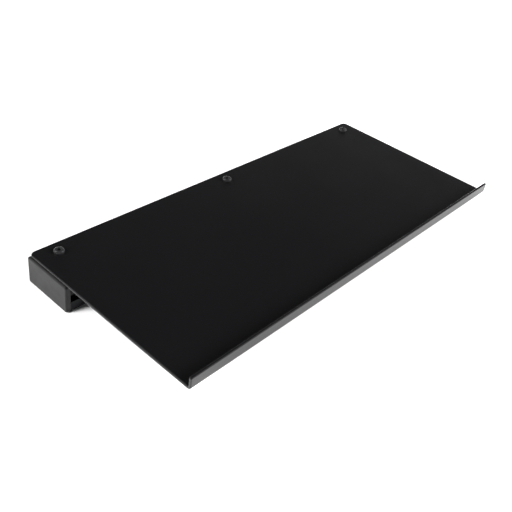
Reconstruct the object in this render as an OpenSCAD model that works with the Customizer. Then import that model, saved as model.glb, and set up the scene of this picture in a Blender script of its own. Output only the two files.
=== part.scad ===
// Kick plate on a T-slot rail.
// A bent sheet deck with a low upturned front lip is screwed down on a short T-slot rail.
// Frame: X along the plate, Y from the lip (front) to the back edge, Z up.
// The origin is below the plate's centre, at the height of the rail's underside.

/* [Deck plate] */
// Length of the deck, along X
deck_length = 500; // [300:5:900]
// Depth of the deck from the lip's front face to the back edge
deck_depth = 220; // [140:5:360]
// Thickness of the sheet that the deck and lip are bent from
sheet_thickness = 3; // [2:0.5:5]
// Height of the lip above the deck's top face
lip_height = 11; // [7:0.5:30]
// Inside radius of the bend between deck and lip
bend_inner_radius = 1; // [0.5:0.5:2]
// Radius of the deck's two back corners, seen from above
deck_corner_radius = 6; // [2:0.5:20]
// Radius of the lip's two top corners, seen from the front
lip_corner_radius = 1.5; // [1:0.5:5]

/* [T-slot rail] */
// Side of one module of the rail: the rail is two modules deep and one module high
module_size = 30; // [28:1:45]
// Width of a slot at the rail's surface
slot_mouth = 8.2; // [6.8:0.1:10]
// Thickness of the two lips that narrow a slot's mouth
slot_lip = 2; // [1.6:0.1:2.6]
// Width of the undercut behind the lips
slot_undercut = 16.5; // [14:0.1:18]
// Depth of a slot from the rail's surface to its floor
slot_depth = 9; // [8.6:0.1:9.6]
// Height of the undercut's straight sides, before they slope in to the floor
slot_straight = 3; // [2.4:0.1:3.2]
// Thickness of the sloping webs and of the outer walls over the middle chamber
web_thickness = 2.4; // [1.6:0.1:3]
// Diameter of the round bore along each module's core
core_bore = 6.8; // [5:0.1:7.4]
// Radius of the rail's four outer edges
rail_edge_radius = 2.5; // [1.5:0.25:4]

/* [End caps] */
// Gap between the end of the rail and the end of the deck, at each end
rail_setback = 3.4; // [3:0.2:10]
// Amount that an end cap stands out past the end of the deck
cap_proud = 1.8; // [0:0.2:4]
// Radius round the outer face of an end cap
cap_edge_radius = 1.8; // [0.4:0.1:3]
// Length of the pegs that hold an end cap in the rail's core bores
peg_length = 10; // [6:1:20]
// Gap round a peg in its core bore
peg_clearance = 0.05; // [0.02:0.01:0.1]

/* [Screws and slot nuts] */
// Thread diameter of the screws
screw_diameter = 6; // [5:0.5:6]
// Length of a screw below its head
screw_length = 10; // [9:0.5:10]
// Distance from the deck's end to the outer screws
screw_inset = 23; // [16:1:60]
// Gap round a screw in its hole through the deck
hole_clearance = 0.3; // [0.2:0.05:0.5]
// Gap between a screw's thread and the thread of its nut
thread_clearance = 0.05; // [0.02:0.01:0.1]
// Length of a slot nut, along the rail
nut_length = 20; // [18:1:26]
// Gap between a slot nut and the sides of its slot
nut_clearance = 0.5; // [0.3:0.1:0.8]
// Diameter of the ball that holds a slot nut up in its slot
ball_diameter = 4; // [3.4:0.1:4.2]

/* [Hidden] */

// Overshoot of a cutting solid past the face that it cuts
overcut = 1;

// Heights
rail_top = module_size;
deck_top = rail_top + sheet_thickness;
lip_top = deck_top + lip_height;

// Depths, along Y
lip_front = -deck_depth / 2;
deck_back = deck_depth / 2;
rail_depth = 2 * module_size;
rail_centre_y = deck_back - module_size;
screw_y = deck_back - module_size / 2;

// Lengths, along X
rail_length = deck_length - 2 * rail_setback;
cap_thickness = rail_setback + cap_proud;
outer_screw_x = deck_length / 2 - screw_inset;

// Bend of the lip
bend_outer_radius = bend_inner_radius + sheet_thickness;

// Section of one slot: half widths, and the depth at which its sides start to slope
undercut_half = slot_undercut / 2;
slope_start = slot_lip + slot_straight;
floor_half = undercut_half - (slot_depth - slope_start);

// Middle chamber of the rail, which keeps one web's thickness away from the slots round it
core_half = module_size / 2 - slot_depth;
chamber_half_height = module_size / 2 - web_thickness;
chamber_half_neck = module_size / 2 - undercut_half - web_thickness;
chamber_half_width = module_size / 2 - core_half;
chamber_shoulder = module_size / 2 - slope_start - web_thickness * tan(22.5);
// Height at which the chamber's sloping walls end against the cores
chamber_low = chamber_shoulder - (chamber_half_width - chamber_half_neck);

// End caps and pegs
cap_rim = min(cap_edge_radius, rail_edge_radius, cap_thickness / 2);
cap_arc_steps = 6;
peg_diameter = core_bore - 2 * peg_clearance;
peg_chamfer = 1;

// Screw head: a low dome with a hexagon socket
head_diameter = 1.75 * screw_diameter;
head_height = 0.55 * screw_diameter;
head_rim = 0.1 * screw_diameter;
head_flat = 1.0 * screw_diameter;
socket_across_flats = 2 / 3 * screw_diameter;
socket_depth = 0.35 * screw_diameter;
shank_chamfer = 0.6;
head_arc_steps = 8;
hole_diameter = screw_diameter + 2 * hole_clearance;
thread_bore = screw_diameter + 2 * thread_clearance;

// Slot nut: a neck in the slot's mouth and a body under the slot's lips
nut_neck_half = slot_mouth / 2 - nut_clearance;
nut_neck_height = 0.7 * slot_lip;
nut_half = undercut_half - 2 * nut_clearance;
nut_top = rail_top - slot_lip;
nut_body_height = slot_depth - slot_lip - 0.4 * ball_diameter;
nut_straight = slot_straight - 2 * nut_clearance;
nut_bottom_half = nut_half - (nut_body_height - nut_straight);
nut_bottom = nut_top - nut_body_height;
nut_screw_offset = 3;

// Ball and spring under the nut
slot_floor = rail_top - slot_depth;
ball_edge_wall = 1;
ball_offset = nut_length / 2 - 1.1 * ball_diameter / 2 - ball_edge_wall;
ball_centre_z = slot_floor + ball_diameter / 2;
ball_gap = 0.1;
ball_hole = ball_diameter + 2 * ball_gap;
ball_hole_roof = 1.2;
ball_hole_top = nut_top - ball_hole_roof;
spring_wire = 0.5;
spring_turns = 2;
spring_sides = 8;
spring_steps = 20;
spring_radius = 0.36 * ball_diameter;
ball_seat_z = ball_centre_z + sqrt(pow(ball_diameter / 2 + spring_wire / 2, 2) - pow(spring_radius, 2));
spring_height = ball_hole_top - ball_seat_z - spring_wire / 2;

// Colours
coat_black = [0.10, 0.10, 0.105];
anodised_black = [0.07, 0.07, 0.075];
plastic_black = [0.13, 0.13, 0.13];
oxide_black = [0.16, 0.16, 0.17];
zinc = [0.72, 0.74, 0.76];
bright_steel = [0.82, 0.82, 0.84];

// ---- T-slot rail ----

// One slot's section, cut down from a surface at y = 0, with its floor at y = -slot_depth
module slot_section() {
    polygon([
        [-slot_mouth / 2, overcut], [-slot_mouth / 2, -slot_lip],
        [-undercut_half, -slot_lip], [-undercut_half, -slope_start],
        [-floor_half, -slot_depth], [floor_half, -slot_depth],
        [undercut_half, -slope_start], [undercut_half, -slot_lip],
        [slot_mouth / 2, -slot_lip], [slot_mouth / 2, overcut]
    ]);
}

// Closed chamber between the two modules' cores
module chamber_section() {
    polygon([
        [-chamber_half_neck, chamber_half_height], [chamber_half_neck, chamber_half_height],
        [chamber_half_neck, chamber_shoulder], [chamber_half_width, chamber_low],
        [chamber_half_width, -chamber_low], [chamber_half_neck, -chamber_shoulder],
        [chamber_half_neck, -chamber_half_height], [-chamber_half_neck, -chamber_half_height],
        [-chamber_half_neck, -chamber_shoulder], [-chamber_half_width, -chamber_low],
        [-chamber_half_width, chamber_low], [-chamber_half_neck, chamber_shoulder]
    ]);
}

module rounded_rectangle(width, height, radius) {
    union() {
        square([width - 2 * radius, height], center = true);
        square([width, height - 2 * radius], center = true);
        for (sx = [-1, 1], sy = [-1, 1])
            translate([sx * (width / 2 - radius), sy * (height / 2 - radius)]) circle(radius, $fn = 48);
    }
}

// Full section of the rail, in the plane of its end, centred on its own middle
module rail_section() {
    difference() {
        rounded_rectangle(rail_depth, module_size, rail_edge_radius);
        for (side = [-1, 1]) {
            translate([side * module_size / 2, 0]) circle(core_bore / 2, $fn = 48);
            translate([side * module_size / 2, module_size / 2]) slot_section();
            translate([side * module_size / 2, -module_size / 2]) rotate(180) slot_section();
            translate([side * module_size, 0]) rotate(-side * 90) slot_section();
        }
        chamber_section();
    }
}

module t_slot_rail() {
    color(anodised_black)
        translate([-rail_length / 2, rail_centre_y, rail_top / 2])
            rotate([90, 0, 90])
                linear_extrude(rail_length) rail_section();
}

// ---- End caps ----

// Post at one corner of the cap's plate, with the rim of its outer face rounded
module cap_corner() {
    flank = rail_edge_radius - cap_rim;
    rotate_extrude($fn = 32)
        polygon(concat(
            [[0, cap_thickness], [0, 0], [rail_edge_radius, 0]],
            [
                for (i = [0:cap_arc_steps])
                    let (a = 90 * i / cap_arc_steps)
                    [flank + cap_rim * cos(a), cap_thickness - cap_rim * (1 - sin(a))]
            ]
        ));
}

// Plate of the right-hand cap, with the rail's outline
module cap_plate() {
    y = module_size - rail_edge_radius;
    z = module_size / 2 - rail_edge_radius;
    hull()
        for (sy = [-1, 1], sz = [-1, 1])
            translate([0, sy * y, sz * z]) rotate([0, 90, 0]) cap_corner();
}

// One peg, pointing to -X from the cap's inner face
module cap_peg() {
    rotate([0, -90, 0]) {
        translate([0, 0, -overcut]) cylinder(d = peg_diameter, h = peg_length - peg_chamfer + overcut, $fn = 48);
        translate([0, 0, peg_length - peg_chamfer])
            cylinder(d1 = peg_diameter, d2 = peg_diameter - 2 * peg_chamfer, h = peg_chamfer, $fn = 48);
    }
}

module end_cap() {
    color(plastic_black)
        translate([rail_length / 2, rail_centre_y, rail_top / 2]) {
            cap_plate();
            for (side = [-1, 1]) translate([0, side * module_size / 2, 0]) cap_peg();
        }
}

module end_cap_right() { end_cap(); }
module end_cap_left() { mirror([1, 0, 0]) end_cap(); }

// ---- Slot nuts ----

// Section of the nut across the slot
module nut_section() {
    polygon([
        [-nut_neck_half, nut_neck_height], [nut_neck_half, nut_neck_height],
        [nut_neck_half, 0], [nut_half, 0], [nut_half, -nut_straight],
        [nut_bottom_half, -nut_body_height], [-nut_bottom_half, -nut_body_height],
        [-nut_half, -nut_straight], [-nut_half, 0], [-nut_neck_half, 0]
    ]);
}

// The screw's thread is off the nut's middle, to leave room for the ball beside it
module slot_nut(x) {
    color(zinc)
        translate([x, screw_y, nut_top])
            difference() {
                translate([nut_screw_offset - nut_length / 2, 0, 0])
                    rotate([90, 0, 90]) linear_extrude(nut_length) nut_section();
                translate([0, 0, -nut_body_height - overcut])
                    cylinder(d = thread_bore, h = nut_body_height + nut_neck_height + 2 * overcut, $fn = 48);
                translate([nut_screw_offset + ball_offset, 0, -nut_body_height - overcut])
                    cylinder(d = ball_hole, h = ball_hole_top - nut_bottom + overcut, $fn = 48);
            }
}

// A coil spring between the ball and the end of its hole
function spring_point(turn, side) =
    let (along = spring_height * turn / spring_turns, ring = spring_radius + spring_wire / 2 * cos(side))
    [ring * cos(360 * turn), ring * sin(360 * turn), along + spring_wire / 2 * sin(side)];

module nut_spring(x) {
    rings = spring_turns * spring_steps;
    points = [
        for (i = [0:rings], k = [0:spring_sides - 1]) spring_point(i / spring_steps, 360 * k / spring_sides)
    ];
    walls = [
        for (i = [0:rings - 1], k = [0:spring_sides - 1])
            let (next = (k + 1) % spring_sides, near = i * spring_sides, far = near + spring_sides)
            [near + k, near + next, far + next, far + k]
    ];
    start_face = [for (k = [spring_sides - 1:-1:0]) k];
    end_face = [for (k = [0:spring_sides - 1]) rings * spring_sides + k];
    color(bright_steel)
        translate([x + nut_screw_offset + ball_offset, screw_y, ball_seat_z])
            polyhedron(points, concat([start_face], walls, [end_face]), convexity = 6);
}

module nut_ball(x) {
    color(bright_steel)
        translate([x + nut_screw_offset + ball_offset, screw_y, ball_centre_z])
            sphere(d = ball_diameter, $fn = 32);
}

module slot_nut_left() { slot_nut(-outer_screw_x); }
module slot_nut_centre() { slot_nut(0); }
module slot_nut_right() { slot_nut(outer_screw_x); }
module nut_spring_left() { nut_spring(-outer_screw_x); }
module nut_spring_centre() { nut_spring(0); }
module nut_spring_right() { nut_spring(outer_screw_x); }
module nut_ball_left() { nut_ball(-outer_screw_x); }
module nut_ball_centre() { nut_ball(0); }
module nut_ball_right() { nut_ball(outer_screw_x); }

// ---- Deck plate ----

// Section of the bent sheet: front face of the lip at y = lip_front, underside at rail_top
module deck_section() {
    bend_y = lip_front + bend_outer_radius;
    bend_z = rail_top + bend_outer_radius;
    union() {
        translate([bend_y, rail_top]) square([deck_back - bend_y, sheet_thickness]);
        translate([lip_front, bend_z]) square([sheet_thickness, lip_top - bend_z]);
        translate([bend_y, bend_z])
            intersection() {
                difference() {
                    circle(bend_outer_radius, $fn = 64);
                    circle(bend_inner_radius, $fn = 64);
                }
                translate([-bend_outer_radius, -bend_outer_radius]) square(bend_outer_radius);
            }
    }
}

// What rounding takes off a square corner at the origin whose sides run to -X and -Y
module corner_waste(radius, height) {
    difference() {
        translate([-radius, -radius, 0]) cube([radius + overcut, radius + overcut, height]);
        translate([-radius, -radius, -overcut]) cylinder(r = radius, h = height + 2 * overcut, $fn = 64);
    }
}

module deck_plate() {
    color(coat_black)
        difference() {
            translate([-deck_length / 2, 0, 0]) rotate([90, 0, 90]) linear_extrude(deck_length) deck_section();
            for (side = [0, 1]) mirror([side, 0, 0]) {
                translate([deck_length / 2, deck_back, rail_top - overcut])
                    corner_waste(deck_corner_radius, sheet_thickness + 2 * overcut);
                translate([deck_length / 2, lip_front + sheet_thickness + overcut, lip_top])
                    rotate([90, 0, 0]) corner_waste(lip_corner_radius, sheet_thickness + 2 * overcut);
            }
            for (x = [-outer_screw_x, 0, outer_screw_x])
                translate([x, screw_y, rail_top - overcut])
                    cylinder(d = hole_diameter, h = sheet_thickness + 2 * overcut, $fn = 48);
        }
}

// ---- Screws ----

// Half section of the domed head above the deck: a low arc from the rim up to the socket's edge
function dome_radius() =
    let (dx = (head_diameter - head_flat) / 2, dz = head_height - head_rim) (dx * dx + dz * dz) / (2 * dz);

function head_arc() =
    let (dx = (head_diameter - head_flat) / 2, dz = head_height - head_rim, r = dome_radius())
    [
        for (i = [0:head_arc_steps])
            let (a = atan2(dx, r - dz) * (1 - i / head_arc_steps))
            [head_flat / 2 + r * sin(a), head_height - r * (1 - cos(a))]
    ];

module screw(x) {
    r = screw_diameter / 2;
    color(oxide_black)
        translate([x, screw_y, deck_top])
            difference() {
                rotate_extrude($fn = 64)
                    polygon(concat(
                        [[0, head_height], [0, -screw_length], [r - shank_chamfer, -screw_length]],
                        [[r, shank_chamfer - screw_length], [r, 0], [head_diameter / 2, 0]],
                        head_arc()
                    ));
                translate([0, 0, head_height - socket_depth])
                    cylinder(d = socket_across_flats / cos(30), h = socket_depth + overcut, $fn = 6);
            }
}

module screw_left() { screw(-outer_screw_x); }
module screw_centre() { screw(0); }
module screw_right() { screw(outer_screw_x); }

t_slot_rail();
end_cap_left();
end_cap_right();
slot_nut_left();
slot_nut_centre();
slot_nut_right();
nut_spring_left();
nut_spring_centre();
nut_spring_right();
nut_ball_left();
nut_ball_centre();
nut_ball_right();
deck_plate();
screw_left();
screw_centre();
screw_right();
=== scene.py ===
"""Looks of a kick plate: a bent black sheet, screwed down on a short capped T-slot rail."""

import math

import bmesh
import bpy
from mathutils import Matrix, Vector


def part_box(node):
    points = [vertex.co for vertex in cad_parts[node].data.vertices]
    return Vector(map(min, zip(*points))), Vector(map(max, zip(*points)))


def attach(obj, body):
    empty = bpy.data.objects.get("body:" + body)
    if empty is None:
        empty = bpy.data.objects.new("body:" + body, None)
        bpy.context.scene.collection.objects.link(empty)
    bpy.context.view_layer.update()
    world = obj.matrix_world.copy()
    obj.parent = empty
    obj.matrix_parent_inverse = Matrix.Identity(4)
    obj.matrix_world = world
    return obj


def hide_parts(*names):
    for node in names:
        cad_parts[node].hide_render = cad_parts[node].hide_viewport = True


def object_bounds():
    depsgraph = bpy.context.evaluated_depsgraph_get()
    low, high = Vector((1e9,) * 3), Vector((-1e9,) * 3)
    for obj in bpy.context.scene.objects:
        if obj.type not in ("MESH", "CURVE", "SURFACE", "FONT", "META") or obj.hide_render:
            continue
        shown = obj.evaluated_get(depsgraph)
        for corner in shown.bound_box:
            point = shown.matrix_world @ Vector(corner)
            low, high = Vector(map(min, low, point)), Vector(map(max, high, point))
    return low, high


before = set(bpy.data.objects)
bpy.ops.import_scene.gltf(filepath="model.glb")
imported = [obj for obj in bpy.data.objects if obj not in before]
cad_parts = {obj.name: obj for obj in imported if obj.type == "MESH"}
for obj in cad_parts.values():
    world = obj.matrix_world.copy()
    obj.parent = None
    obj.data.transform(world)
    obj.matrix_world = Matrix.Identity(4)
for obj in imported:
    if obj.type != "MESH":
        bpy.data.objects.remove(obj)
cad_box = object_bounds()


# ---- T-slot rail ----
# A 60 by 30 mm slotted section of AlMgSi alloy, extruded, cut to length and black anodised.
# It lies under the back edge of the deck, which is screwed into the slot nuts in its top slot.

MM = 0.001
RAIL_EDGE = 0.15 * MM       # burr taken off the extrusion's edges
RAIL_BLACK = "#141517"
RAIL_STREAK = "#1C1D1F"     # where the dye has taken a little less
DIE_LINE_PITCH = 1.6        # mm between the streaks that the extrusion die leaves
DIE_LINE_STRETCH = 50.0     # how many times longer than wide a streak is
ETCH_GRAIN = 0.5            # mm, the matt grain of the etch before anodising
NOISE_LOW, NOISE_HIGH = 0.3, 0.7    # the range that nearly all of a noise pattern lies in
SHARP_ANGLE = math.radians(32)      # edges that turn by more than this are rounded
FLAT_ANGLE = math.radians(0.5)      # faces that meet at less than this are one flat face
WELD_GAP = 0.002 * MM


def to_linear(hex_colour):
    """An sRGB hex colour as a linear colour with alpha."""
    channels = [int(hex_colour[i : i + 2], 16) / 255 for i in (1, 3, 5)]
    return [c / 12.92 if c <= 0.04045 else ((c + 0.055) / 1.055) ** 2.4 for c in channels] + [1.0]


def node_in(tree, kind, settings=None, inputs=None, links=None):
    """Adds a node with its settings, its socket values and the sockets that feed it."""
    added = tree.nodes.new(kind)
    for name, value in (settings or {}).items():
        setattr(added, name, value)
    for socket, value in (inputs or {}).items():
        added.inputs[socket].default_value = value
    for socket, source in (links or {}).items():
        tree.links.new(source, added.inputs[socket])
    return added


def new_material(name):
    """An empty material with its node tree, and object coordinates in millimetres."""
    material = bpy.data.materials.new(name)
    material.use_nodes = True
    tree = material.node_tree
    tree.nodes.clear()
    place = node_in(tree, "ShaderNodeTexCoord")
    in_mm = node_in(
        tree, "ShaderNodeVectorMath", {"operation": "SCALE"},
        {"Scale": 1 / MM}, {0: place.outputs["Object"]},
    )
    return material, tree, in_mm.outputs["Vector"]


def finish_material(tree, shader):
    """Joins the shader to the material's surface."""
    node_in(tree, "ShaderNodeOutputMaterial", links={"Surface": shader.outputs[0]})


def piece(name, data, slot, *replaced):
    """A finished mesh as a smooth-shaded piece on the one body, in place of its CAD nodes."""
    for face in data.polygons:
        face.use_smooth = True
    made = bpy.data.objects.new(name, data)
    bpy.context.scene.collection.objects.link(made)
    flatten = made.modifiers.new("flat_faces_stay_flat", "WEIGHTED_NORMAL")
    flatten.weight = 100
    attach(made, "root")
    for node in replaced:
        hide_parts(node)
    return made


def eased(node, width, segments, slot):
    """A CAD node's own shape with its sharp edges rounded, standing in place of the node."""
    mesh = bmesh.new()
    mesh.from_mesh(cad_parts[node].data)
    bmesh.ops.remove_doubles(mesh, verts=mesh.verts, dist=WELD_GAP)
    bmesh.ops.dissolve_limit(mesh, angle_limit=FLAT_ANGLE, verts=mesh.verts, edges=mesh.edges)
    sharp = [e for e in mesh.edges if e.is_manifold and e.calc_face_angle(0) > SHARP_ANGLE]
    bmesh.ops.bevel(
        mesh, geom=sharp, offset=width, segments=segments,
        profile=0.5, affect="EDGES", clamp_overlap=False,
    )
    data = bpy.data.meshes.new(node + "_eased")
    mesh.to_mesh(data)
    mesh.free()
    return piece(node + "_eased", data, slot, node)


def black_anodised_aluminium():
    """Dyed oxide over etched metal: a dull black with faint streaks along the extrusion."""
    material, tree, mm = new_material("black_anodised_extruded_aluminium")
    stretched = node_in(
        tree, "ShaderNodeVectorMath", {"operation": "MULTIPLY"},
        {1: (1 / DIE_LINE_STRETCH, 1.0, 1.0)}, {0: mm},
    )
    streaks = node_in(
        tree, "ShaderNodeTexNoise", None,
        {"Scale": 1 / DIE_LINE_PITCH, "Detail": 3.0, "Roughness": 0.6},
        {"Vector": stretched.outputs[0]},
    )
    etch = node_in(
        tree, "ShaderNodeTexNoise", None,
        {"Scale": 1 / ETCH_GRAIN, "Detail": 2.0}, {"Vector": mm},
    )
    roughness = node_in(
        tree, "ShaderNodeMapRange", None,
        {"From Min": NOISE_LOW, "From Max": NOISE_HIGH, "To Min": 0.36, "To Max": 0.5},
        {"Value": streaks.outputs["Fac"]},
    )
    tint = node_in(tree, "ShaderNodeValToRGB", links={"Fac": streaks.outputs["Fac"]})
    tint.color_ramp.elements[0].color = to_linear(RAIL_BLACK)
    tint.color_ramp.elements[1].color = to_linear(RAIL_STREAK)
    relief = node_in(
        tree, "ShaderNodeMath", {"operation": "MULTIPLY_ADD"},
        {1: 0.5}, {0: etch.outputs["Fac"], 2: streaks.outputs["Fac"]},
    )
    bump = node_in(
        tree, "ShaderNodeBump", None,
        {"Strength": 0.12, "Distance": 0.05 * MM}, {"Height": relief.outputs[0]},
    )
    shader = node_in(
        tree, "ShaderNodeBsdfPrincipled", None, {"Specular IOR Level": 0.12},
        {
            "Base Color": tint.outputs["Color"],
            "Roughness": roughness.outputs["Result"],
            "Normal": bump.outputs["Normal"],
        },
    )
    finish_material(tree, shader)
    return material


rail = eased("t_slot_rail", RAIL_EDGE, segments=2, slot="anodised_rail")
rail.data.materials.append(black_anodised_aluminium())


# ---- End caps ----
# Injection-moulded plugs of black nylon. Two pegs push into the core bores of the rail, and the
# plate covers its end with a small radius all round the outer face.

CAP_RIM = 1.8 * MM          # radius round the outer face
CAP_CORNER = 2.5 * MM       # radius of the rail's own corners
CAP_SEAM = 0.25 * MM        # chamfer where the cap meets the rail
CAP_ARC_STEPS = 10
PEG_RADIUS = 3.35 * MM
PEG_CHAMFER = 1.0 * MM
PEG_ROOT = 1.0 * MM         # how deep a peg is rooted in the plate
PEG_SIDES = 48
CAP_BLACK = "#161616"
CAP_FLOW = "#1A1A1A"        # where the melt has flowed more slowly
FLOW_MARK = 14.0            # mm
SPARK_GRAIN = 0.35          # mm, the spark-eroded grain of the mould


def rounded_outline(centre, half_y, half_z, inset, x):
    """Points round the rail's end outline, drawn in by inset, in the plane at x."""
    points = []
    arc_radius = CAP_CORNER - inset
    for quarter, (side_y, side_z) in enumerate(((1, 1), (-1, 1), (-1, -1), (1, -1))):
        for step in range(CAP_ARC_STEPS + 1):
            angle = math.radians(90) * (quarter + step / CAP_ARC_STEPS)
            y = centre.y + side_y * (half_y - CAP_CORNER) + arc_radius * math.cos(angle)
            z = centre.z + side_z * (half_z - CAP_CORNER) + arc_radius * math.sin(angle)
            points.append((x, y, z))
    return points


def skin(rings):
    """A mesh through rings of points, with its two ends closed."""
    mesh = bmesh.new()
    made = [[mesh.verts.new(point) for point in ring] for ring in rings]
    count = len(rings[0])
    for near, far in zip(made, made[1:]):
        for k in range(count):
            following = (k + 1) % count
            mesh.faces.new((near[k], near[following], far[following], far[k]))
    mesh.faces.new(made[0][::-1])
    mesh.faces.new(made[-1])
    return mesh


def add_peg(mesh, centre, root_x, tip_x, outward):
    """A round peg with a chamfered tip, along the rail, added to the mesh of its cap."""
    profile = (
        (PEG_RADIUS, root_x),
        (PEG_RADIUS, tip_x + outward * PEG_CHAMFER),
        (PEG_RADIUS - PEG_CHAMFER, tip_x),
    )
    turns = [math.tau * k / PEG_SIDES for k in range(PEG_SIDES)]
    peg = skin([
        [(x, centre.y + radius * math.cos(a), centre.z + radius * math.sin(a)) for a in turns]
        for radius, x in profile
    ])
    data = bpy.data.meshes.new("peg")
    peg.to_mesh(data)
    peg.free()
    mesh.from_mesh(data)
    bpy.data.meshes.remove(data)


def moulded_cap(node, outward):
    """The cap's plate with a quarter-round rim, and its two pegs with chamfered tips."""
    low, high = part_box(node)
    rail_low, rail_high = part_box("t_slot_rail")
    centre = (rail_low + rail_high) / 2
    inner_x = rail_high.x if outward > 0 else rail_low.x
    outer_x = high.x if outward > 0 else low.x
    peg_tip_x = low.x if outward > 0 else high.x
    half_y = (rail_high.y - rail_low.y) / 2
    half_z = (rail_high.z - rail_low.z) / 2
    rings = [
        rounded_outline(centre, half_y, half_z, CAP_SEAM, inner_x),
        rounded_outline(centre, half_y, half_z, 0.0, inner_x + outward * CAP_SEAM),
    ]
    for step in range(CAP_ARC_STEPS + 1):
        angle = math.radians(90) * step / CAP_ARC_STEPS
        x = outer_x - outward * CAP_RIM * (1 - math.sin(angle))
        inset = CAP_RIM * (1 - math.cos(angle))
        rings.append(rounded_outline(centre, half_y, half_z, inset, x))
    mesh = skin(rings)
    peg_spacing = rail_high.z - rail_low.z      # the core bores are one module apart
    for side in (-0.5, 0.5):
        bore = centre + Vector((0, side * peg_spacing, 0))
        add_peg(mesh, bore, inner_x + outward * PEG_ROOT, peg_tip_x, outward)
    bmesh.ops.recalc_face_normals(mesh, faces=mesh.faces)
    data = bpy.data.meshes.new(node + "_moulded")
    mesh.to_mesh(data)
    mesh.free()
    return piece(node + "_moulded", data, "moulded_caps", node)


def moulded_black_nylon():
    """Nylon from a spark-eroded mould: a dull black that catches light along its edges."""
    material, tree, mm = new_material("moulded_black_nylon")
    grain = node_in(
        tree, "ShaderNodeTexNoise", None,
        {"Scale": 1 / SPARK_GRAIN, "Detail": 3.0}, {"Vector": mm},
    )
    flow = node_in(
        tree, "ShaderNodeTexNoise", None,
        {"Scale": 1 / FLOW_MARK, "Detail": 2.0}, {"Vector": mm},
    )
    tint = node_in(tree, "ShaderNodeValToRGB", links={"Fac": flow.outputs["Fac"]})
    tint.color_ramp.elements[0].color = to_linear(CAP_BLACK)
    tint.color_ramp.elements[1].color = to_linear(CAP_FLOW)
    roughness = node_in(
        tree, "ShaderNodeMapRange", None,
        {"From Min": NOISE_LOW, "From Max": NOISE_HIGH, "To Min": 0.34, "To Max": 0.46},
        {"Value": flow.outputs["Fac"]},
    )
    bump = node_in(
        tree, "ShaderNodeBump", None,
        {"Strength": 0.2, "Distance": 0.03 * MM}, {"Height": grain.outputs["Fac"]},
    )
    shader = node_in(
        tree, "ShaderNodeBsdfPrincipled", None, {"Specular IOR Level": 0.28},
        {
            "Base Color": tint.outputs["Color"],
            "Roughness": roughness.outputs["Result"],
            "Normal": bump.outputs["Normal"],
        },
    )
    finish_material(tree, shader)
    return material


nylon = moulded_black_nylon()
for node, outward in (("end_cap_left", -1), ("end_cap_right", 1)):
    moulded_cap(node, outward).data.materials.append(nylon)


# ---- Slot nuts, balls and springs ----
# Zinc-plated steel nuts in the rail's rear top slot, under the screws. A polished ball and a
# short coil spring in each nut hold it up against the slot's lips. The deck hides them all.

NUT_EDGE = 0.3 * MM
PLACES = ("left", "centre", "right")


def shiny_steel(name, colour, smoothest, roughest, blotch):
    """Bare or plated steel, a bright grey whose shine varies in blotches of a size in mm."""
    material, tree, mm = new_material(name)
    cloud = node_in(
        tree, "ShaderNodeTexNoise", None,
        {"Scale": 1 / blotch, "Detail": 3.0}, {"Vector": mm},
    )
    roughness = node_in(
        tree, "ShaderNodeMapRange", None,
        {
            "From Min": NOISE_LOW, "From Max": NOISE_HIGH,
            "To Min": smoothest, "To Max": roughest,
        },
        {"Value": cloud.outputs["Fac"]},
    )
    shader = node_in(
        tree, "ShaderNodeBsdfPrincipled", None,
        {"Base Color": to_linear(colour), "Metallic": 1.0},
        {"Roughness": roughness.outputs["Result"]},
    )
    finish_material(tree, shader)
    return material


zinc_plate = shiny_steel("zinc_plated_steel", "#B9BDC2", smoothest=0.26, roughest=0.4, blotch=3.0)
ball_steel = shiny_steel("polished_ball_steel", "#C9CBCF", smoothest=0.08, roughest=0.14, blotch=1.0)
spring_wire = shiny_steel("drawn_spring_wire", "#A9ABB0", smoothest=0.22, roughest=0.34, blotch=0.6)
for place in PLACES:
    nut = eased("slot_nut_" + place, NUT_EDGE, segments=2, slot="zinc_plated_steel")
    nut.data.materials.append(zinc_plate)
    for kind, metal in (("nut_ball_", ball_steel), ("nut_spring_", spring_wire)):
        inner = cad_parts[kind + place]
        inner.data.materials.clear()
        inner.data.materials.append(metal)


# ---- Deck plate ----
# A 3 mm steel sheet, laser cut, with its front edge folded up as a low lip, then powder coated
# satin black. The coat rounds every cut edge a little and lies in a very fine orange peel.

SHEET = 3.0 * MM
COAT_EDGE = 1.1 * MM        # deburred edges, built up by the coat
COAT_BLACK = "#0B0B0C"
PEEL_WAVE = 2.2             # mm from crest to crest of the orange peel
COAT_SPECK = 0.55           # mm, a speck of fine texture, twice the real size so that it shows
COAT_CLOUD = 60.0           # mm, where the gun has laid the powder a little thicker


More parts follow.
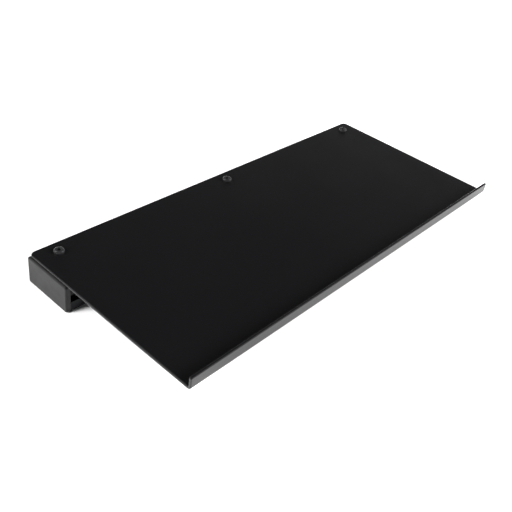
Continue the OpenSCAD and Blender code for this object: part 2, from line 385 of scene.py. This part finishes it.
def satin_powder_coat():
    """Baked polyester powder: deep black, with a soft broken reflection and bright edges."""
    material, tree, mm = new_material("satin_black_powder_coat")
    peel = node_in(
        tree, "ShaderNodeTexNoise", None,
        {"Scale": 1 / PEEL_WAVE, "Detail": 1.0}, {"Vector": mm},
    )
    speck = node_in(
        tree, "ShaderNodeTexNoise", None,
        {"Scale": 1 / COAT_SPECK, "Detail": 2.0}, {"Vector": mm},
    )
    cloud = node_in(
        tree, "ShaderNodeTexNoise", None,
        {"Scale": 1 / COAT_CLOUD, "Detail": 3.0}, {"Vector": mm},
    )
    relief = node_in(
        tree, "ShaderNodeMath", {"operation": "MULTIPLY_ADD"},
        {1: 0.35}, {0: speck.outputs["Fac"], 2: peel.outputs["Fac"]},
    )
    bump = node_in(
        tree, "ShaderNodeBump", None,
        {"Strength": 0.15, "Distance": 0.04 * MM}, {"Height": relief.outputs[0]},
    )
    roughness = node_in(
        tree, "ShaderNodeMapRange", None,
        {"From Min": NOISE_LOW, "From Max": NOISE_HIGH, "To Min": 0.2, "To Max": 0.25},
        {"Value": cloud.outputs["Fac"]},
    )
    shader = node_in(
        tree, "ShaderNodeBsdfPrincipled", None,
        {"Base Color": to_linear(COAT_BLACK), "Specular IOR Level": 0.32},
        {"Roughness": roughness.outputs["Result"], "Normal": bump.outputs["Normal"]},
    )
    finish_material(tree, shader)
    return material


deck = eased("deck_plate", COAT_EDGE, segments=5, slot="coated_sheet")
deck.data.materials.append(satin_powder_coat())
deck_low, deck_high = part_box("deck_plate")
deck_top = deck_low.z + SHEET


# ---- Screws ----
# Three M6 button-head socket screws of hardened steel with a black oxide finish, through the
# back edge of the deck. The dome, its rim and the socket's mouth each catch a small highlight.

HEAD_WIDTH = 1.75           # this and the next four are multiples of the thread's diameter
HEAD_HEIGHT = 0.55
HEAD_SIDE = 0.1             # the straight side below the dome
SOCKET_FLATS = 2 / 3
SOCKET_DEPTH = 0.35
POINT_CHAMFER = 0.6 * MM    # at the end of the thread
SEAT_CHAMFER = 0.15 * MM    # round the underside of the head
SIDE_CHAMFER = (0.06 * MM, 0.1 * MM)    # where the side meets the dome: in, down
MOUTH_CLEAR = 0.25 * MM     # from the hexagon's corners to the countersink round them
MOUTH_CHAMFER = (0.1 * MM, 0.03 * MM)   # out, down
SOCKET_EDGE = (0.25 * MM, 0.4 * MM)     # depths from where to where the broached edge slopes in
SOCKET_WALL = 0.985         # share of the flats below that edge
DRILL_CONE = (0.45, 0.02 * MM)          # the socket's bottom: share of the flats, depth
DOME_STEPS = 14
SCREW_SIDES = 96
OXIDE_BLACK = "#1A1A1B"
OXIDE_CLOUD = 1.5           # mm, the patches in which the oil film lies


def circle_round(axis, radius, z):
    """Points on a circle round the screw's axis."""
    turns = [math.tau * k / SCREW_SIDES for k in range(SCREW_SIDES)]
    return [(axis.x + radius * math.cos(a), axis.y + radius * math.sin(a), z) for a in turns]


def hexagon_round(axis, across_flats, z):
    """The same points, moved in or out to the sides of a hexagon."""
    sector = math.radians(60)
    points = []
    for k in range(SCREW_SIDES):
        angle = math.tau * k / SCREW_SIDES
        radius = across_flats / 2 / math.cos((angle + sector / 2) % sector - sector / 2)
        points.append((axis.x + radius * math.cos(angle), axis.y + radius * math.sin(angle), z))
    return points


def button_screw(node):
    """The screw is turned in rings from its point up to the dome, then down the socket."""
    low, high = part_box(node)
    axis = (low + high) / 2
    head_height = high.z - deck_top
    thread = head_height / HEAD_HEIGHT
    thread_radius = thread / 2
    head_radius = thread_radius * HEAD_WIDTH
    side = thread * HEAD_SIDE
    flats = thread * SOCKET_FLATS
    rise = head_height - side
    run = head_radius - thread_radius           # the dome's flat top is as wide as the thread
    dome = (run * run + rise * rise) / (2 * rise)
    dome_angle = math.atan2(run, dome - rise)
    side_in, side_down = SIDE_CHAMFER
    profile = [
        (thread_radius - POINT_CHAMFER, low.z),
        (thread_radius, low.z + POINT_CHAMFER),
        (thread_radius, deck_top),
        (head_radius - SEAT_CHAMFER, deck_top),
        (head_radius, deck_top + SEAT_CHAMFER),
        (head_radius, deck_top + side - side_down),
        (head_radius - side_in, deck_top + side),
    ]
    for step in range(1, DOME_STEPS + 1):
        angle = dome_angle * (1 - step / DOME_STEPS)
        radius = thread_radius + dome * math.sin(angle)
        profile.append((radius, high.z - dome * (1 - math.cos(angle))))
    mouth = flats / math.sqrt(3) + MOUTH_CLEAR
    mouth_out, mouth_down = MOUTH_CHAMFER
    profile += [(mouth + mouth_out, high.z), (mouth, high.z - mouth_down)]
    socket_floor = high.z - thread * SOCKET_DEPTH
    edge_top, edge_bottom = SOCKET_EDGE
    cone_share, cone_depth = DRILL_CONE
    rings = [circle_round(axis, radius, z) for radius, z in profile]
    rings += [
        hexagon_round(axis, flats, high.z - edge_top),
        hexagon_round(axis, flats * SOCKET_WALL, high.z - edge_bottom),
        hexagon_round(axis, flats * SOCKET_WALL, socket_floor),
        circle_round(axis, flats * cone_share, socket_floor - cone_depth),
    ]
    mesh = skin(rings)
    bmesh.ops.recalc_face_normals(mesh, faces=mesh.faces)
    data = bpy.data.meshes.new(node + "_turned")
    mesh.to_mesh(data)
    mesh.free()
    return piece(node + "_turned", data, "black_oxide_steel", node)


def oiled_black_oxide():
    """Hot black oxide under a film of oil: near black, with small highlights on its edges."""
    material, tree, mm = new_material("oiled_black_oxide")
    cloud = node_in(
        tree, "ShaderNodeTexNoise", None,
        {"Scale": 1 / OXIDE_CLOUD, "Detail": 3.0}, {"Vector": mm},
    )
    roughness = node_in(
        tree, "ShaderNodeMapRange", None,
        {"From Min": NOISE_LOW, "From Max": NOISE_HIGH, "To Min": 0.18, "To Max": 0.26},
        {"Value": cloud.outputs["Fac"]},
    )
    shader = node_in(
        tree, "ShaderNodeBsdfPrincipled", None,
        {"Base Color": to_linear(OXIDE_BLACK), "Specular IOR Level": 0.5},
        {"Roughness": roughness.outputs["Result"]},
    )
    finish_material(tree, shader)
    return material


oxide_steel = oiled_black_oxide()
for place in PLACES:
    button_screw("screw_" + place).data.materials.append(oxide_steel)


# ---- Table, light and camera ----
# The part stands on a matt white table under a dark ceiling. The room is bright round the
# horizon, which the deck's far half mirrors, and two pale panels light the rounded edges.

TABLE_SIZE = 8.0            # m
TABLE_WHITE = "#F0F0F0"
ROOM_GLOW = ((0.0, 1.0), (0.1, 0.8), (0.28, 0.32), (0.42, 0.07), (0.6, 0.03))   # height, glow
PALE_PANELS = (             # direction, cosines of its faded edge and of its full glow, glow
    ((-0.47, 0.48, 0.74), 0.925, 0.985, 3.6),
    ((0.64, -0.40, 0.655), 0.925, 0.985, 2.6),
)
LAMP_SPREAD = 26.0          # degrees across each bank of lamps
LAMP_HEIGHT = 26.0          # degrees above the table
LENS = 48.40                # mm, on a sensor 36 mm wide
AZIMUTH, ELEVATION, ROLL = math.radians(-53.23), math.radians(36.28), math.radians(9.52)
DISTANCE = 0.6852           # m from the point on the deck that the camera aims at
AIM_ALONG, AIM_ACROSS = 0.3397, 0.3864      # that point, as shares of the deck's length and depth
SHIFT = (-0.0012, -0.0006)  # the last trim of the frame


def white_table():
    """A matt white top, level with the underside of the part."""
    half = TABLE_SIZE / 2
    level = cad_box[0][2]
    corners = [(-half, -half, level), (half, -half, level), (half, half, level), (-half, half, level)]
    data = bpy.data.meshes.new("white_table")
    data.from_pydata(corners, [], [(0, 1, 2, 3)])
    table = bpy.data.objects.new("white_table", data)
    bpy.context.scene.collection.objects.link(table)
    material, tree, _ = new_material("matt_white_laminate")
    shader = node_in(
        tree, "ShaderNodeBsdfPrincipled", None,
        {"Base Color": to_linear(TABLE_WHITE), "Roughness": 0.7, "Specular IOR Level": 0.2},
    )
    finish_material(tree, shader)
    data.materials.append(material)


def room():
    """A room that is bright at the horizon and dark overhead, with the pale panels added."""
    world = bpy.data.worlds.new("studio")
    bpy.context.scene.world = world
    world.use_nodes = True
    tree = world.node_tree
    tree.nodes.clear()
    direction = node_in(tree, "ShaderNodeTexCoord").outputs["Generated"]
    height = node_in(tree, "ShaderNodeSeparateXYZ", links={0: direction}).outputs["Z"]
    ramp = node_in(tree, "ShaderNodeValToRGB", links={"Fac": height})
    stops = ramp.color_ramp.elements
    stops[1].position = ROOM_GLOW[-1][0]
    for height_of_stop, _ in ROOM_GLOW[1:-1]:
        stops.new(height_of_stop)
    for stop, (_, level) in zip(stops, ROOM_GLOW):
        stop.color = (level, level, level, 1.0)
    glow = ramp.outputs["Color"]
    for panel, edge, middle, strength in PALE_PANELS:
        toward_panel = node_in(
            tree, "ShaderNodeVectorMath", {"operation": "DOT_PRODUCT"}, {1: panel}, {0: direction}
        )
        lit = node_in(
            tree, "ShaderNodeMapRange", {"interpolation_type": "SMOOTHSTEP"},
            {"From Min": edge, "From Max": middle, "To Min": 0.0, "To Max": strength},
            {"Value": toward_panel.outputs["Value"]},
        )
        both = node_in(
            tree, "ShaderNodeMix", {"data_type": "RGBA", "blend_type": "ADD"},
            {0: 1.0}, {6: glow, 7: lit.outputs["Result"]},
        )
        glow = both.outputs[2]
    background = node_in(tree, "ShaderNodeBackground", None, {"Strength": 1.0}, {"Color": glow})
    node_in(tree, "ShaderNodeOutputWorld", links={"Surface": background.outputs[0]})


def toward(azimuth, elevation):
    """The direction at an azimuth, turned from -Y towards +X, and an elevation above the table."""
    return Vector((
        math.sin(azimuth) * math.cos(elevation),
        -math.cos(azimuth) * math.cos(elevation),
        math.sin(elevation),
    ))


def lamp_bank(name, azimuth, strength):
    """Even light from a wide bank of lamps far off, kept out of the reflections."""
    light = bpy.data.lights.new(name, "SUN")
    light.angle = math.radians(LAMP_SPREAD)
    light.energy = strength
    bank = bpy.data.objects.new(name, light)
    bank.location = toward(math.radians(azimuth), math.radians(LAMP_HEIGHT))
    bank.rotation_euler = bank.location.to_track_quat("Z", "Y").to_euler()
    bank.visible_glossy = False
    bpy.context.scene.collection.objects.link(bank)


def camera_at_the_lip():
    """A camera beyond the left end of the lip, rolled so that the part seems to tip forward."""
    deck_size = deck_high - deck_low
    aim = Vector((
        deck_low.x + AIM_ALONG * deck_size.x, deck_low.y + AIM_ACROSS * deck_size.y, deck_top
    ))
    back = toward(AZIMUTH, ELEVATION)
    right = Vector((math.cos(AZIMUTH), math.sin(AZIMUTH), 0.0))
    up = back.cross(right)
    rolled_right = right * math.cos(ROLL) + up * math.sin(ROLL)
    rolled_up = up * math.cos(ROLL) - right * math.sin(ROLL)
    turned = Matrix((rolled_right, rolled_up, back)).transposed().to_4x4()
    lens = bpy.data.cameras.new("camera")
    lens.lens = LENS
    lens.sensor_width = 36.0
    lens.clip_start = 0.01
    lens.shift_x, lens.shift_y = SHIFT
    camera = bpy.data.objects.new("camera", lens)
    camera.matrix_world = Matrix.Translation(aim + back * DISTANCE) @ turned
    bpy.context.scene.collection.objects.link(camera)
    bpy.context.scene.camera = camera


white_table()
room()
lamp_bank("left_bank", -110.0, 7.4)
lamp_bank("front_bank", 38.0, 8.2)
camera_at_the_lip()
bpy.context.scene.view_settings.view_transform = "Standard"
